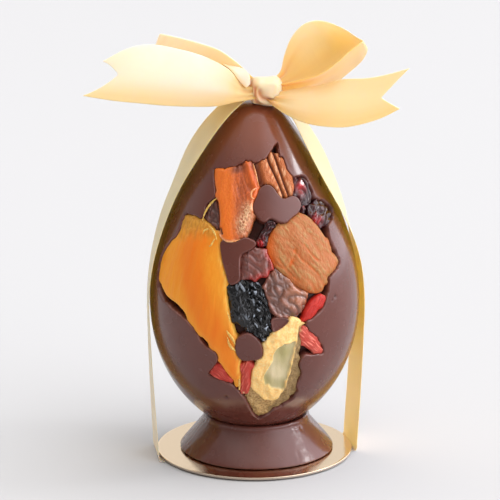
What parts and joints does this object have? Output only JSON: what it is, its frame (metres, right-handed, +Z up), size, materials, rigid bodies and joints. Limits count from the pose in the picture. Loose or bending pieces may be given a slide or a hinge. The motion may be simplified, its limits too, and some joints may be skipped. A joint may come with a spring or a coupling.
{
  "type": "chocolate egg",
  "caption": "Chocolate egg on a chocolate foot with a broken-edged window of dried fruit and nuts, tied to a round gold card with a satin ribbon and bow.",
  "frame": {"origin": "middle of the underside, on the ribbon that passes beneath the card", "axes": "+Z up along the egg's axis, -Y out of the fruit window, +X to the right as the window is faced"},
  "size_m": [0.1566, 0.1059, 0.2206],
  "materials": {
    "chocolate": "dark chocolate, smooth and softly glossy",
    "mango": "dried mango, fibrous, waxy",
    "papaya": "dried papaya, smooth to wrinkled, slightly sticky",
    "nut": "pecan skin, dry, satin",
    "apricot": "dried apricot, finely wrinkled, waxy bloom",
    "prune": "dried prune and raisin, black, wrinkled, glossy",
    "fig": "dried date or fig, brown, wrinkled, sticky",
    "apple_slice": "dried apple or pear slice, translucent flesh with a thin skin",
    "goji": "goji berry, red, wrinkled",
    "berry": "dried cranberry and red fruit, dark red, glossy",
    "satin": "cream satin ribbon",
    "gold_card": "round cake card faced with pale gold foil"
  },
  "bodies": {
    "root": {"egg": "chocolate", "foot": "chocolate", "card": "gold_card", "mango_slice": "mango", "papaya_slice": "papaya", "pecan_half": "nut", "apricot": "apricot", "prune": "prune", "fig": "fig", "apple_slice": "apple_slice", "red_fruit_chunk": "berry", "raisin": "prune", "goji_berry_1": "goji", "goji_berry_2": "goji", "goji_berry_3": "goji", "goji_berry_4": "goji", "cranberry_1": "berry", "cranberry_2": "berry", "cranberry_3": "berry", "cranberry_4": "berry", "ribbon_knot": "satin", "ribbon_loop_left": "satin", "ribbon_loop_right": "satin", "ribbon_tail_left": "satin", "ribbon_tail_right": "satin", "ribbon_strap_left": "satin", "ribbon_strap_right": "satin", "ribbon_under_card": "satin"}
  },
  "joints": []
}
